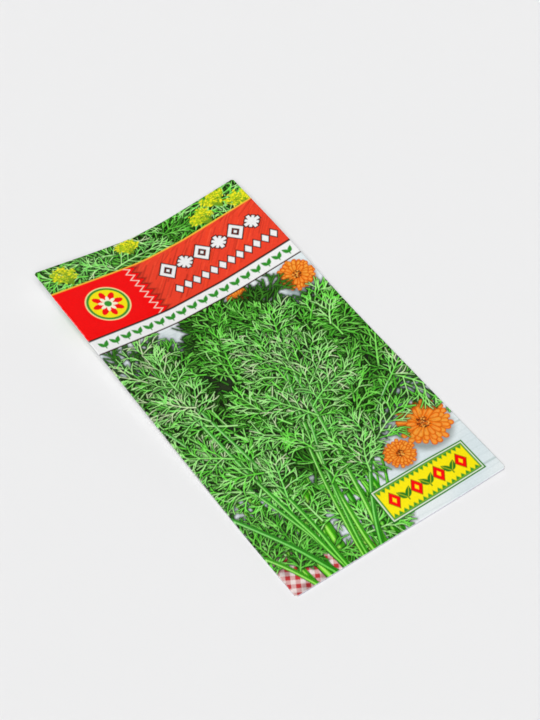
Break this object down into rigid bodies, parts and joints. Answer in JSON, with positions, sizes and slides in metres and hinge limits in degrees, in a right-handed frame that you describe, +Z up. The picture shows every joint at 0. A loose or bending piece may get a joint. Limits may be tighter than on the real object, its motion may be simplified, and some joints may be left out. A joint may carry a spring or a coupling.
{
  "type": "seed packet",
  "caption": "Sealed flat paper seed packet lying face up, its top corners curled, with a lapped back seam, glued end flaps and loose seeds inside.",
  "frame": {"origin": "on the table surface under the middle of the packet's outline", "axes": "+Y from the bottom end to the top end, +X to the right as the front is read, +Z up out of the front"},
  "size_m": [0.0802, 0.1502, 0.008],
  "materials": {
    "coated_paper": "glossy coated paper, printed on the outside, bare white at its cut edges",
    "paper_glue": "dry translucent paper glue",
    "seed_coat": "dull ribbed seed coat with pale margins"
  },
  "bodies": {
    "root": {"paper_envelope": "coated_paper", "seam_glue": "paper_glue", "bottom_flap_glue": "paper_glue", "top_flap_glue": "paper_glue", "dill_seeds": "seed_coat"}
  },
  "joints": []
}
